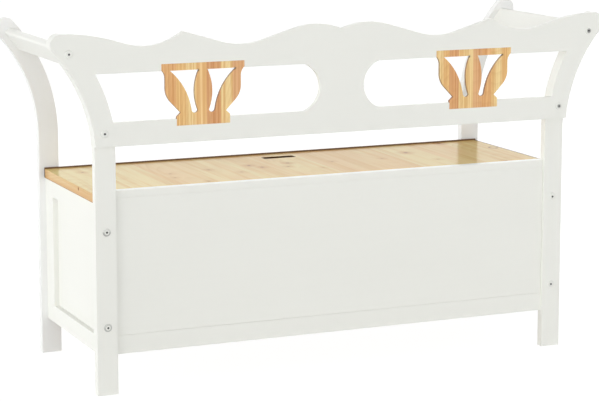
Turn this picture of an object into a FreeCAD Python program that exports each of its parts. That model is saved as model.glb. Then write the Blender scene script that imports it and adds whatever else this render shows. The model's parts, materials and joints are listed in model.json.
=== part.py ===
import FreeCAD, Part
import math
import os
import re
import Sketcher

# Storage bench with a scalloped backrest, two pierced splats, flared armrests and a lifting lid.
# Millimetres, +Z up, the front faces -Y, the sitter's left hand is at +X.
# The origin is on the floor, below the middle of the bench.

# Driving dimensions
SIZES = {
    # Overall
    "half_span": 544,
    "side_depth": 375,
    # Legs: a flat board that runs up straight, flares outwards on two concentric arcs and ends round
    "leg_width": 44,
    "leg_thick": 18,
    "flare_start": 490,
    "flare_radius": 330,
    "flare_angle": 42.5,
    # Backrest board and its two openings
    "back_thick": 12,
    "mid_rail_bottom": 518,
    "opening_bottom": 567.5,
    "opening_height": 99.5,
    "stile_half": 50,
    "opening_end_radius": 52.5,
    # Waved top edge: arcs joined by straight runs at one slope
    "wave_angle": 16.5,
    "crest_centre": 61,
    "crest_radius": 160,
    "crest_rise": 0.4,
    "valley_radius": 165,
    "valley_drop": 34.6,
    "outer_valley_radius": 140,
    "outer_valley_drop": 30.1,
    "outer_crest_radius": 373,
    # Splats, let flush into the back of the backrest board
    "splat_inset": 187,
    "splat_thick": 6,
    "splat_lap": 14.3,
    "splat_half": 91,
    "splat_shoulder": 82.8,
    "splat_waist": 49.8,
    "splat_foot": 58.5,
    "splat_bar": 14.5,
    "cove_start_drop": 12.5,
    "cove_end_drop": 30,
    "shoulder_drop": 50,
    "waist_drop": 101.5,
    "foot_drop": 109.5,
    "belly_radius": 42,
    "belly_angle": 44.5,
    # Tear-drop cut-outs of a splat
    "eye_inner": 9.5,
    "eye_outer": 72.5,
    "eye_inner_radius": 104,
    "eye_outer_radius": 132,
    "eye_tip_middle": 18.9,
    "eye_tip_half": 6.9,
    "eye_tip_radius": 7.2,
    "eye_drop": 98,
    # Armrests
    "arm_angle": 38.6,
    "arm_width": 50,
    "arm_thick": 18,
    "arm_shift": 7,
    "arm_round": 6,
    # Side frames: stiles and rails grooved for a thin panel
    "side_inset": 14,
    "side_thick": 18,
    "side_bottom": 78,
    "seat_base": 394,
    "side_stile": 50,
    "side_low_rail": 38,
    "side_top_rail": 36,
    "side_panel_thick": 6,
    "side_panel_recess": 11,
    "groove_depth": 8,
    "panel_play": 1,
    # Front and back walls: two rebated rails and a panel
    "wall_recess": 8,
    "wall_thick": 18,
    "wall_bottom": 82.5,
    "wall_low_rail": 39,
    "wall_top_strip": 15,
    "wall_lap": 15,
    "wall_panel_thick": 9,
    "back_rise": 30,
    # Floor of the box and its two cleats
    "floor_thick": 9,
    "cleat_width": 15,
    "cleat_height": 20,
    "cleat_rise": 12.5,
    "floor_play": 1,
    # Lid
    "lid_overhang": 4,
    "lid_thick": 20,
    "lid_rest_gap": 0.3,
    "lid_front_gap": 3,
    "lid_rear_gap": 2.5,
    "lip_thick": 6.5,
    "lip_proud": 3,
    "slot_length": 77,
    "slot_width": 22,
    "slot_setback": 58,
    "batten_end_gap": 62,
    "batten_width": 40,
    "batten_thick": 15,
    "batten_front_setback": 92,
    "batten_rear_setback": 45,
    # Hinges
    "hinge_inset": 184,
    "hinge_length": 60,
    "knuckle_radius": 3.2,
    "knuckle_clear": 0.4,
    "hinge_pin_radius": 1.5,
    "pin_clear": 0.05,
    "leaf_thick": 1.5,
    "leaf_width": 20,
    # Connector bolts, nuts, dowels, pins and screws
    "bolt_radius": 3,
    "bolt_head_radius": 8.5,
    "bolt_head_top_radius": 7.2,
    "bolt_head_thick": 2.2,
    "socket_radius": 2.5,
    "socket_depth": 3.5,
    "bolt_low": 142,
    "bolt_high": 341,
    "bolt_back": 545.5,
    "bolt_bite": 32,
    "barrel_radius": 5,
    "barrel_length": 14,
    "barrel_depth": 25,
    "insert_radius": 5,
    "insert_length": 20,
    "back_insert_length": 14,
    "dowel_radius": 3,
    "dowel_length": 30,
    "dowel_rise": 20,
    "splat_pin_radius": 2,
    "splat_pin_bite": 3,
    "splat_pin_length": 7,
    "splat_pin_top": 70,
    "splat_pin_foot": 40,
    "hinge_screw_length": 10,
    "screw_radius": 1.5,
    "screw_head_radius": 3,
    "hinge_screw_pitch": 22,
    "hinge_screw_set": 12,
    "batten_screw_length": 27,
    "batten_screw_inset": 50,
}

# Counts
LID_BOARDS = 11
KNUCKLES = 5
BATTEN_SCREWS = 5

# Places worked out from the driving dimensions, in the order in which they need each other
PLACES = {
    "leg_inner": "half_span - leg_width",
    "depth_half": "(side_depth + 2 * leg_thick + back_thick) / 2 + bolt_head_thick",
    "back_back": "depth_half - bolt_head_thick",
    "splat_front": "back_back - splat_thick",
    "back_leg_back": "back_back - back_thick",
    "back_leg_front": "back_leg_back - leg_thick",
    "front_leg_back": "back_leg_front - side_depth",
    "front_leg_front": "front_leg_back - leg_thick",
    # Flare of a leg
    "flare_centre": "half_span + flare_radius",
    "flare_inner_radius": "flare_radius + leg_width",
    "flare_middle_radius": "flare_radius + leg_width / 2",
    "nose_radius": "leg_width / 2",
    "nose_x": "flare_centre - flare_middle_radius * cos(flare_angle)",
    "nose_z": "flare_start + flare_middle_radius * sin(flare_angle)",
    "nose_top": "nose_z + nose_radius",
    # Waved top edge
    "slope_sine": "sin(wave_angle)",
    "slope_cosine": "cos(wave_angle)",
    "slope_sag": "1 - cos(wave_angle)",
    "crest_top": "nose_top + crest_rise",
    "cusp_middle_z": "crest_top - crest_radius + sqrt(crest_radius ^ 2 - crest_centre ^ 2)",
    "crest_end_x": "crest_centre + crest_radius * slope_sine",
    "crest_end_z": "crest_top - crest_radius * slope_sag",
    "valley_end_z": "nose_top - valley_drop + valley_radius * slope_sag",
    "valley_start_x": "crest_end_x + (crest_end_z - valley_end_z) / tan(wave_angle)",
    "valley_end_x": "valley_start_x + 2 * valley_radius * slope_sine",
    "outer_end_z": "nose_top - outer_crest_radius * slope_sag",
    "outer_end_x": "nose_x - outer_crest_radius * slope_sine",
    "outer_low_z": "nose_top - outer_valley_drop + outer_valley_radius * slope_sag",
    "outer_low_x": "outer_end_x - (outer_end_z - outer_low_z) / tan(wave_angle)",
    "outer_centre_x": "outer_low_x - outer_valley_radius * slope_sine",
    "outer_centre_z": "nose_top - outer_valley_drop + outer_valley_radius",
    "cusp_run_x": "outer_centre_x - valley_end_x",
    "cusp_run_z": "outer_centre_z - valley_end_z",
    "cusp_along": "cusp_run_x * slope_cosine + cusp_run_z * slope_sine",
    "cusp_aside": "cusp_run_z * slope_cosine - cusp_run_x * slope_sine",
    "cusp_run": "cusp_along - sqrt(outer_valley_radius ^ 2 - cusp_aside ^ 2)",
    "cusp_x": "valley_end_x + cusp_run * slope_cosine",
    "cusp_z": "valley_end_z + cusp_run * slope_sine",
    # Backrest openings
    "opening_top": "opening_bottom + opening_height",
    "opening_end": "stile_half + opening_end_radius - sqrt(opening_end_radius ^ 2 - (opening_height / 2) ^ 2)",
    "splat_centre": "leg_inner - splat_inset",
    "splat_top": "opening_top + splat_lap",
    "splat_bottom": "opening_bottom - splat_lap",
    # Sides of a splat: a hollow below the bar, a short upright and a round belly
    "cove_depth": "splat_half - splat_shoulder",
    "cove_rise": "cove_end_drop - cove_start_drop",
    "cove_radius": "(cove_depth ^ 2 + cove_rise ^ 2) / (2 * cove_depth)",
    "belly_end_x": "splat_shoulder - belly_radius * (1 - cos(belly_angle))",
    "belly_end_drop": "shoulder_drop + belly_radius * sin(belly_angle)",
    # Armrests: the middle line of the flare at the arm bolt, and its directions there
    "arm_x": "flare_centre - flare_middle_radius * cos(arm_angle)",
    "arm_z": "flare_start + flare_middle_radius * sin(arm_angle)",
    "arm_low": "arm_width / 2 + arm_shift",
    "arm_high": "arm_width / 2 - arm_shift",
    # Side frames
    "side_outer": "half_span - side_inset",
    "side_inner": "side_outer - side_thick",
    "side_middle": "side_outer - side_thick / 2",
    "side_panel_outer": "side_outer - side_panel_recess",
    "side_panel_inner": "side_panel_outer - side_panel_thick",
    "side_rail_back": "back_leg_front - side_stile",
    "side_rail_front": "front_leg_back + side_stile",
    "side_rail_length": "side_depth - 2 * side_stile",
    # Walls
    "back_wall_outer": "back_leg_back - wall_recess",
    "back_wall_inner": "back_wall_outer - wall_thick",
    "front_wall_outer": "front_leg_front + wall_recess",
    "front_wall_inner": "front_wall_outer + wall_thick",
    "wall_panel_bottom": "wall_bottom + wall_low_rail",
    "back_wall_top": "seat_base + back_rise",
    "cleat_top": "wall_bottom + cleat_rise + cleat_height",
    # Lid
    "lid_half": "side_outer + lid_overhang",
    "hinge_place": "lid_half - hinge_inset",
    "batten_half": "side_inner - batten_end_gap",
    "lid_bottom": "seat_base + lid_rest_gap",
    "lid_top": "lid_bottom + lid_thick",
    "lid_front": "front_leg_back + lid_front_gap",
    "lid_board_front": "lid_front + lip_thick",
    "lid_rear": "back_wall_inner - lid_rear_gap",
    "slot_y": "lid_front + slot_setback",
    # Hinge axis: in front of the back rail and above the lid by the same amount
    "axis_offset": "knuckle_radius + knuckle_clear",
    "axis_y": "back_wall_inner - axis_offset",
    "axis_z": "lid_top + axis_offset",
    "knuckle_gap": "knuckle_clear / 2",
}

NAMES = set(SIZES) | set(PLACES)

doc = FreeCAD.newDocument("storage_bench")
sheet = doc.addObject("Spreadsheet::Sheet", "Sizes")
for row, (name, content) in enumerate(list(SIZES.items()) + list(PLACES.items()), start=1):
    cell = "A%d" % row
    sheet.set(cell, "=" + content if name in PLACES else str(content))
    sheet.setAlias(cell, name)
doc.recompute()

X_AXIS = FreeCAD.Vector(1, 0, 0)
Y_AXIS = FreeCAD.Vector(0, 1, 0)
TURNS = {
    "+z": FreeCAD.Rotation(X_AXIS, 0),
    "-z": FreeCAD.Rotation(X_AXIS, 180),
    "+y": FreeCAD.Rotation(X_AXIS, -90),
    "-y": FreeCAD.Rotation(X_AXIS, 90),
    "+x": FreeCAD.Rotation(Y_AXIS, 90),
    "-x": FreeCAD.Rotation(Y_AXIS, -90),
}
SIDES = {"left": 1, "right": -1}
parts = {}


def bind(text):
    """The expression with every named size pointing at the sheet."""
    return re.sub(r"[a-z_]+", lambda found: "Sizes." + found.group() if found.group() in NAMES else found.group(), text)


def value(text):
    """The number that an expression in named sizes has now."""
    return float(sheet.evalExpression(text))


def signed(side, text):
    """The expression, or its mirror image on the right-hand side."""
    return text if side > 0 else "-(%s)" % text


def keep(label, made):
    """Make an object the sub-part of that name."""
    made.Label = label
    parts[label] = made
    return made


def place(made, x="0", y="0", z="0", turn="+z"):
    """Turn an object and bind its place to the sheet."""
    made.Placement = FreeCAD.Placement(FreeCAD.Vector(), TURNS[turn])
    for axis, text in (("x", x), ("y", y), ("z", z)):
        if text != "0":
            made.setExpression("Placement.Base." + axis, bind(text))
    return made


def box(name, x, y, z, length, width, height):
    """Box from its lowest corner and its three sizes."""
    made = doc.addObject("Part::Box", name)
    made.setExpression("Length", bind(length))
    made.setExpression("Width", bind(width))
    made.setExpression("Height", bind(height))
    return place(made, x, y, z)


def rod(name, radius, length, x, y, z, turn):
    """Cylinder that starts at a point and runs along an axis direction."""
    made = doc.addObject("Part::Cylinder", name)
    made.setExpression("Radius", bind(radius))
    made.setExpression("Height", bind(length))
    return place(made, x, y, z, turn)


def taper(name, start_radius, end_radius, length, x, y, z, turn):
    """Cone stump that starts at a point and runs along an axis direction."""
    made = doc.addObject("Part::Cone", name)
    made.setExpression("Radius1", bind(start_radius))
    made.setExpression("Radius2", bind(end_radius))
    made.setExpression("Height", bind(length))
    return place(made, x, y, z, turn)


def fuse(name, pieces):
    made = doc.addObject("Part::MultiFuse", name)
    made.Shapes = pieces
    made.Refine = True
    return made


def group(name, pieces):
    """Separate solids that share one sub-part or one cutting tool."""
    made = doc.addObject("Part::Compound", name)
    made.Links = pieces
    return made


def cut(name, base, tools):
    """Base with the shapes of the tools taken out of it."""
    made = doc.addObject("Part::Cut", name)
    made.Base = base
    made.Tool = tools[0] if len(tools) == 1 else group(name + "_tools", tools)
    return made


def new_body(name, y="0", z="0"):
    body = doc.addObject("PartDesign::Body", name)
    return place(body, "0", y, z)


def new_sketch(body, plane, name):
    """Sketch on one of the body's own origin planes."""
    sketch = body.newObject("Sketcher::SketchObject", name)
    flat = [feature for feature in body.Origin.OriginFeatures if feature.Role == plane][0]
    sketch.AttachmentSupport = [(flat, "")]
    sketch.MapMode = "FlatFace"
    return sketch


def fix_point(sketch, geometry, end, x, y):
    """Tie one point of a sketch to expressions for its two coordinates."""
    for kind, axis, text in (("DistanceX", -2, x), ("DistanceY", -1, y)):
        if text == "0":
            sketch.addConstraint(Sketcher.Constraint("PointOnObject", geometry, end, axis))
        else:
            index = sketch.addConstraint(Sketcher.Constraint(kind, -1, 1, geometry, end, value(text)))
            sketch.setExpression("Constraints[%d]" % index, bind(text))


def outline(sketch, corners, side=1):
    """Closed outline. A corner is (x, y), or (x, y, radius, bend) where an arc leaves it:
    bend is 1 for an arc whose centre lies to the left of the way to the next corner, -1 to the right.
    The right-hand side mirrors x."""
    points = [FreeCAD.Vector(side * value(corner[0]), value(corner[1]), 0) for corner in corners]
    ends = []
    for number, corner in enumerate(corners):
        here = points[number]
        there = points[(number + 1) % len(points)]
        if len(corner) == 2:
            index = sketch.addGeometry(Part.LineSegment(here, there), False)
            ends.append((index, 1, 2))
            continue
        radius = value(corner[2])
        bend = corner[3] * side
        chord = there - here
        rise = radius - math.sqrt(radius ** 2 - (chord.Length / 2) ** 2)
        outward = FreeCAD.Vector(chord.y, -chord.x, 0).normalize() * bend
        middle = (here + there) / 2 + outward * rise
        first, last = (here, there) if bend > 0 else (there, here)
        index = sketch.addGeometry(Part.Arc(first, middle, last), False)
        ends.append((index, 1, 2) if bend > 0 else (index, 2, 1))
        index_radius = sketch.addConstraint(Sketcher.Constraint("Radius", index, radius))
        sketch.setExpression("Constraints[%d]" % index_radius, bind(corner[2]))
    for number, (index, start, _) in enumerate(ends):
        before = ends[number - 1]
        sketch.addConstraint(Sketcher.Constraint("Coincident", before[0], before[2], index, start))
        fix_point(sketch, index, start, signed(side, corners[number][0]) if corners[number][0] != "0" else "0",
                  corners[number][1])
    return sketch


def pad(body, sketch, length, reversed_way=False, midplane=False):
    """Thicken a sketch. From the XZ plane the way is -Y, from the YZ plane +X, from the XY plane +Z."""
    feature = body.newObject("PartDesign::Pad", sketch.Name + "_pad")
    feature.Profile = sketch
    feature.Reversed = reversed_way
    feature.Midplane = midplane
    feature.setExpression("Length", bind(length))
    sketch.Visibility = False
    return feature


def mirror(body, originals):
    """Add the mirror image across the YZ plane."""
    feature = body.newObject("PartDesign::Mirrored", body.Name + "_mirror")
    feature.Originals = originals
    flat = [plane for plane in body.Origin.OriginFeatures if plane.Role == "YZ_Plane"][0]
    feature.MirrorPlane = (flat, [""])
    body.Tip = feature
    return feature


def connector_bolt(name, bite, x, y, z, turn):
    """Flat-headed bolt with a hexagon socket: the head lies behind the start point, the shank before it.
    The shank comes along too, as the tool for the holes that it goes through."""
    back = {"-y": "+y", "+y": "-y"}[turn]
    step = "bolt_head_thick" if back == "+y" else "-bolt_head_thick"
    depth = "-socket_depth" if back == "+y" else "socket_depth"
    shank = rod(name + "_shank", "bolt_radius", bite, x, y, z, turn)
    head = taper(name + "_head", "bolt_head_radius", "bolt_head_top_radius", "bolt_head_thick", x, y, z, back)
    socket = doc.addObject("Part::Prism", name + "_socket")
    socket.Polygon = 6
    socket.setExpression("Circumradius", bind("socket_radius"))
    socket.setExpression("Height", bind("socket_depth"))
    place(socket, x, "%s + %s + %s" % (y, step, depth), z, back)
    return cut(name, fuse(name + "_solid", [shank, head]), [socket]), shank


def wood_screw(name, length, x, y, z, turn):
    """Countersunk screw whose head is flush with the start point."""
    head = taper(name + "_head", "screw_head_radius", "screw_radius", "screw_head_radius - screw_radius", x, y, z, turn)
    shank = rod(name + "_shank", "screw_radius", length, x, y, z, turn)
    return fuse(name, [shank, head])


def leg_corners():
    """Leg outline from the foot up: straight, flared on two concentric arcs, with a round end."""
    outer_x = "flare_centre - flare_radius * cos(flare_angle)"
    outer_z = "flare_start + flare_radius * sin(flare_angle)"
    inner_x = "flare_centre - flare_inner_radius * cos(flare_angle)"
    inner_z = "flare_start + flare_inner_radius * sin(flare_angle)"
    tip_x = "nose_x + nose_radius * sin(flare_angle)"
    tip_z = "nose_z + nose_radius * cos(flare_angle)"
    return [("half_span", "0"), ("half_span", "flare_start", "flare_radius", -1),
            (outer_x, outer_z, "nose_radius", 1), (tip_x, tip_z, "nose_radius", 1),
            (inner_x, inner_z, "flare_inner_radius", 1), ("leg_inner", "flare_start"), ("leg_inner", "0")]


def make_fasteners():
    """Bolts, nuts, dowels, pins and screws, in the groups that become sub-parts and cutting tools."""
    kinds = {"frame_bolts": [], "arm_bolts": [], "backrest_bolts": [], "barrel_nuts": [], "insert_nuts": [],
             "wall_dowels": [], "splat_pins": [], "hinge_screws_rail": [], "hinge_screws_lid": [], "batten_screws": []}
    shanks = {"frame_bolts": [], "arm_bolts": [], "backrest_bolts": []}

    def add_bolt(kind, name, bite, x, y, z, turn):
        bolt, shank = connector_bolt(name, bite, x, y, z, turn)
        kinds[kind].append(bolt)
        shanks[kind].append(shank)
        return shank

    def add_nut(kind, name, nut, shank):
        kinds[kind].append(cut(name, nut, [shank]))

    for hand, side in SIDES.items():
        middle = signed(side, "side_middle")
        outward = "+x" if side > 0 else "-x"
        for end, face, turn, way in (("back", "back_leg_back", "-y", "-"), ("front", "front_leg_front", "+y", "+")):
            tag = "%s_%s" % (end, hand)
            for level in ("bolt_low", "bolt_high"):
                name = "%s_%s" % (level, tag)
                shank = add_bolt("frame_bolts", name, "leg_thick + bolt_bite", middle, face, level, turn)
                nut_y = "%s %s (leg_thick + barrel_depth)" % (face, way)
                nut = rod(name + "_nut", "barrel_radius", "barrel_length", signed(side, "side_inner"), nut_y, level,
                          outward)
                add_nut("barrel_nuts", name + "_barrel", nut, shank)
            arm_face = "back_back" if end == "back" else face
            arm_run = "back_thick + leg_thick" if end == "back" else "leg_thick"
            arm_x = signed(side, "arm_x")
            shank = add_bolt("arm_bolts", "arm_bolt_" + tag, arm_run + " + insert_length", arm_x, arm_face, "arm_z",
                             turn)
            seat_y = "back_leg_front" if end == "back" else "front_leg_back"
            nut = rod("arm_insert_" + tag, "insert_radius", "insert_length", arm_x, seat_y, "arm_z", turn)
            add_nut("insert_nuts", "arm_insert_nut_" + tag, nut, shank)
            dowel_y = "%s %s (leg_thick + wall_recess) / 2" % (face, way)
            for top, level in (("low", "wall_bottom + dowel_rise"), ("top", "%s - wall_top_strip / 2" % (
                    "back_wall_top" if end == "back" else "seat_base"))):
                start = signed(side, "leg_inner - dowel_length / 2")
                kinds["wall_dowels"].append(
                    rod("dowel_%s_%s" % (top, tag), "dowel_radius", "dowel_length", start, dowel_y, level, outward))
        flare_x = signed(side, "flare_centre - sqrt(flare_middle_radius ^ 2 - (bolt_back - flare_start) ^ 2)")
        shank = add_bolt("backrest_bolts", "backrest_bolt_" + hand, "back_thick + leg_thick", flare_x, "back_back",
                         "bolt_back", "-y")
        nut = rod("back_insert_" + hand, "insert_radius", "back_insert_length", flare_x, "back_leg_front",
                  "bolt_back", "+y")
        add_nut("insert_nuts", "back_insert_nut_" + hand, nut, shank)
        pin_start = "splat_front + splat_pin_bite - splat_pin_length"
        for spread, height, tag in (("splat_pin_top", "splat_top - splat_lap / 2", "top"),
                                    ("splat_pin_foot", "splat_bottom + splat_lap / 2", "foot")):
            for way in ("+", "-"):
                pin_x = signed(side, "splat_centre %s %s" % (way, spread))
                name = "splat_pin_%s_%s_%s" % (hand, tag, "outer" if way == "+" else "inner")
                kinds["splat_pins"].append(
                    rod(name, "splat_pin_radius", "splat_pin_length", pin_x, pin_start, height, "+y"))
        for number in (-1, 0, 1):
            screw_x = signed(side, "hinge_place") + " + %d * hinge_screw_pitch" % number
            tag = "%s_%d" % (hand, number + 1)
            kinds["hinge_screws_rail"].append(
                wood_screw("rail_screw_" + tag, "hinge_screw_length", screw_x, "back_wall_inner - leaf_thick",
                           "axis_z - hinge_screw_set", "+y"))
            kinds["hinge_screws_lid"].append(
                wood_screw("lid_screw_" + tag, "hinge_screw_length", screw_x, "axis_y - hinge_screw_set",
                           "lid_top + leaf_thick", "-z"))
    for edge, middle_y in (("front", "lid_front + batten_front_setback + batten_width / 2"),
                           ("rear", "lid_rear - batten_rear_setback - batten_width / 2")):
        for number in range(BATTEN_SCREWS):
            share = 2 * number / (BATTEN_SCREWS - 1) - 1
            kinds["batten_screws"].append(
                wood_screw("batten_screw_%s_%d" % (edge, number), "batten_screw_length",
                           "%g * (batten_half - batten_screw_inset)" % share if share else "0", middle_y,
                           "lid_bottom - batten_thick", "+z"))
    tools = {name: keep(name, group(name, pieces)) for name, pieces in kinds.items()}
    tools.update({name: group(name + "_shanks", pieces) for name, pieces in shanks.items()})
    return tools


def make_legs(tools):
    drillers = [tools[name] for name in ("frame_bolts", "arm_bolts", "backrest_bolts", "wall_dowels")]
    for hand, side in SIDES.items():
        for end in ("back", "front"):
            label = "leg_%s_%s" % (end, hand)
            body = new_body(label + "_blank", y="%s_leg_back" % end)
            sketch = outline(new_sketch(body, "XZ_Plane", label + "_outline"), leg_corners(), side)
            pad(body, sketch, "leg_thick")
            makers = drillers + ([tools["insert_nuts"]] if end == "back" else [])
            keep(label, cut(label, body, makers))


def make_backrest(tools):
    """Board with a waved top edge: one half is drawn, then mirrored. Shallow pockets in its back take the
    bar and the foot of each splat."""
    outer_low = "flare_centre - sqrt(flare_radius ^ 2 - (mid_rail_bottom - flare_start) ^ 2)"
    outer_x = "flare_centre - flare_radius * cos(flare_angle)"
    outer_z = "flare_start + flare_radius * sin(flare_angle)"
    wave = [("nose_x", "nose_top", "outer_crest_radius", 1), ("outer_end_x", "outer_end_z"),
            ("outer_low_x", "outer_low_z", "outer_valley_radius", -1), ("cusp_x", "cusp_z"),
            ("valley_end_x", "valley_end_z", "valley_radius", -1), ("valley_start_x", "valley_end_z"),
            ("crest_end_x", "crest_end_z", "crest_radius", 1), ("0", "cusp_middle_z")]
    frame = [("0", "mid_rail_bottom"), (outer_low, "mid_rail_bottom", "flare_radius", -1),
             (outer_x, outer_z, "nose_radius", 1)]
    end_low = "flare_centre - sqrt(flare_inner_radius ^ 2 - (opening_bottom - flare_start) ^ 2)"
    end_top = "flare_centre - sqrt(flare_inner_radius ^ 2 - (opening_top - flare_start) ^ 2)"
    opening = [("opening_end", "opening_bottom"), (end_low, "opening_bottom", "flare_inner_radius", -1),
               (end_top, "opening_top"), ("opening_end", "opening_top", "opening_end_radius", 1)]
    body = new_body("backrest_panel_blank", y="back_back")
    sketch = new_sketch(body, "XZ_Plane", "backrest_outline")
    outline(sketch, frame + wave)
    outline(sketch, opening)
    board = pad(body, sketch, "back_thick")
    mirror(body, [board])
    pockets = [box("splat_%s_pocket_%s" % (part, hand), signed(side, "splat_centre") + " - " + half, "splat_front",
                   level, "2 * " + half, "2 * splat_thick", "2 * splat_lap")
               for hand, side in SIDES.items()
               for part, half, level in (("bar", "splat_half", "opening_top - splat_lap"),
                                         ("foot", "splat_foot", "splat_bottom"))]
    keep("backrest_panel", cut("backrest_panel", cut("backrest_pocketed", body, pockets),
                               [tools["arm_bolts"], tools["backrest_bolts"], tools["splat_pins"]]))


def make_splats(tools):
    """Tulip outline with two tear-drop eyes: one half is drawn, then mirrored about the splat's middle."""
    edge = [("0", "splat_bottom"), ("splat_foot", "splat_bottom"), ("splat_foot", "splat_top - foot_drop"),
            ("splat_waist", "splat_top - waist_drop"),
            ("belly_end_x", "splat_top - belly_end_drop", "belly_radius", 1),
            ("splat_shoulder", "splat_top - shoulder_drop"),
            ("splat_shoulder", "splat_top - cove_end_drop", "cove_radius", -1),
            ("splat_half", "splat_top - cove_start_drop"), ("splat_half", "splat_top"), ("0", "splat_top")]
    eye = [("eye_inner", "splat_top - splat_bar", "eye_inner_radius", -1),
           ("eye_tip_middle - eye_tip_half", "splat_top - eye_drop", "eye_tip_radius", 1),
           ("eye_tip_middle + eye_tip_half", "splat_top - eye_drop", "eye_outer_radius", -1),
           ("eye_outer", "splat_top - splat_bar")]
    for hand, side in SIDES.items():
        label = "splat_" + hand
        body = new_body(label + "_blank", y="back_back")
        body.setExpression("Placement.Base.x", bind(signed(side, "splat_centre")))
        sketch = new_sketch(body, "XZ_Plane", label + "_outline")
        outline(sketch, edge)
        outline(sketch, eye)
        board = pad(body, sketch, "splat_thick")
        mirror(body, [board])
        keep(label, cut(label, body, [tools["splat_pins"]]))


def arm_point(along, across):
    """Point of the armrest's section, from its distances along and across the flare's middle line."""
    x = "arm_x + (%s) * sin(arm_angle) + (%s) * cos(arm_angle)" % (along, across)
    z = "arm_z + (%s) * cos(arm_angle) - (%s) * sin(arm_angle)" % (along, across)
    return x, z


def make_arms(tools):
    """Board between two legs, leaning with the flare, with its upper corners rounded."""
    section = [arm_point("-arm_low", "arm_thick / 2"),
               arm_point("arm_high - arm_round", "arm_thick / 2") + ("arm_round", 1),
               arm_point("arm_high", "arm_thick / 2 - arm_round"),
               arm_point("arm_high", "arm_round - arm_thick / 2") + ("arm_round", 1),
               arm_point("arm_high - arm_round", "-arm_thick / 2"),
               arm_point("-arm_low", "-arm_thick / 2")]
    for hand, side in SIDES.items():
        label = "armrest_" + hand
        body = new_body(label + "_blank", y="back_leg_front")
        sketch = outline(new_sketch(body, "XZ_Plane", label + "_section"), section, side)
        pad(body, sketch, "side_depth")
        keep(label, cut(label, body, [tools["arm_bolts"], tools["insert_nuts"]]))


def make_side_stile(label, side, leg_face, way, tools):
    """Upright of a side frame, grooved along the edge that faces the panel."""
    edge = "%s %s side_stile" % (leg_face, way)
    floor = "%s %s (side_stile - groove_depth)" % (leg_face, way)
    section = [("side_inner", leg_face), ("side_outer", leg_face), ("side_outer", edge), ("side_panel_outer", edge),
               ("side_panel_outer", floor), ("side_panel_inner", floor), ("side_panel_inner", edge),
               ("side_inner", edge)]
    body = new_body(label + "_blank", z="side_bottom")
    sketch = outline(new_sketch(body, "XY_Plane", label + "_section"), section, side)
    pad(body, sketch, "seat_base - side_bottom")
    keep(label, cut(label, body, [tools["frame_bolts"], tools["barrel_nuts"]]))


def make_side_rail(label, side, outer_edge, groove_edge, groove_floor):
    """Rail between two stiles, grooved along one edge, with a stub tenon at each end."""
    section = [("side_inner", outer_edge), ("side_outer", outer_edge), ("side_outer", groove_edge),
               ("side_panel_outer", groove_edge), ("side_panel_outer", groove_floor),
               ("side_panel_inner", groove_floor), ("side_panel_inner", groove_edge), ("side_inner", groove_edge)]
    tenon = [("side_panel_inner", outer_edge), ("side_panel_outer", outer_edge),
             ("side_panel_outer", groove_floor), ("side_panel_inner", groove_floor)]
    body = new_body(label, y="(side_rail_back + side_rail_front) / 2")
    rail = outline(new_sketch(body, "XZ_Plane", label + "_section"), section, side)
    pad(body, rail, "side_rail_length", midplane=True)
    stub = outline(new_sketch(body, "XZ_Plane", label + "_tenon"), tenon, side)
    pad(body, stub, "side_rail_length + 2 * groove_depth", midplane=True)
    keep(label, body)


def make_side_frames(tools):
    reach = "groove_depth - panel_play"
    low_edge = "side_bottom + side_low_rail"
    top_edge = "seat_base - side_top_rail"
    for hand, side in SIDES.items():
        make_side_stile("side_stile_back_" + hand, side, "back_leg_front", "-", tools)
        make_side_stile("side_stile_front_" + hand, side, "front_leg_back", "+", tools)
        make_side_rail("side_rail_low_" + hand, side, "side_bottom", low_edge, low_edge + " - groove_depth")
        make_side_rail("side_rail_top_" + hand, side, "seat_base", top_edge, top_edge + " + groove_depth")
        corner = "side_panel_inner" if side > 0 else "-side_panel_outer"
        panel = box("side_panel_" + hand, corner, "side_rail_front - (%s)" % reach, "%s - (%s)" % (low_edge, reach),
                    "side_panel_thick", "side_rail_length + 2 * (%s)" % reach,
                    "%s - (%s) + 2 * (%s)" % (top_edge, low_edge, reach))
        keep("side_panel_" + hand, panel)


def make_wall(end, outer, inner, rebate, top, tools):
    """Wall between two legs: a low rail, a top rail and a panel that sits in their rebates."""
    rails = {
        "%s_rail_low" % end: [(outer, "wall_bottom"), (inner, "wall_bottom"),
                              (inner, "wall_panel_bottom + wall_lap"), (rebate, "wall_panel_bottom + wall_lap"),
                              (rebate, "wall_panel_bottom"), (outer, "wall_panel_bottom")],
        "%s_rail_top" % end: [(outer, top), (inner, top), (inner, "%s - wall_top_strip - wall_lap" % top),
                              (rebate, "%s - wall_top_strip - wall_lap" % top),
                              (rebate, "%s - wall_top_strip" % top), (outer, "%s - wall_top_strip" % top)],
    }
    drillers = [tools["wall_dowels"]] + ([tools["hinge_screws_rail"]] if end == "back" else [])
    for label, section in rails.items():
        body = new_body(label + "_blank")
        sketch = outline(new_sketch(body, "YZ_Plane", label + "_section"), section)
        pad(body, sketch, "2 * leg_inner", midplane=True)
        keep(label, cut(label, body, drillers))
    lowest = rebate if end == "back" else outer
    panel = box("%s_panel" % end, "-leg_inner", lowest, "wall_panel_bottom", "2 * leg_inner", "wall_panel_thick",
                "%s - wall_top_strip - wall_panel_bottom" % top)
    keep("%s_panel" % end, panel)


def make_box_floor():
    """Floor board of the box, lying on a cleat along each wall."""
    inside = "back_wall_inner - front_wall_inner"
    keep("box_floor", box("box_floor", "floor_play - side_inner", "front_wall_inner + floor_play", "cleat_top",
                          "2 * (side_inner - floor_play)", inside + " - 2 * floor_play", "floor_thick"))
    for end, y in (("front", "front_wall_inner"), ("back", "back_wall_inner - cleat_width")):
        keep("floor_cleat_" + end, box("floor_cleat_" + end, "-leg_inner", y, "cleat_top - cleat_height",
                                       "2 * leg_inner", "cleat_width", "cleat_height"))


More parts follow.
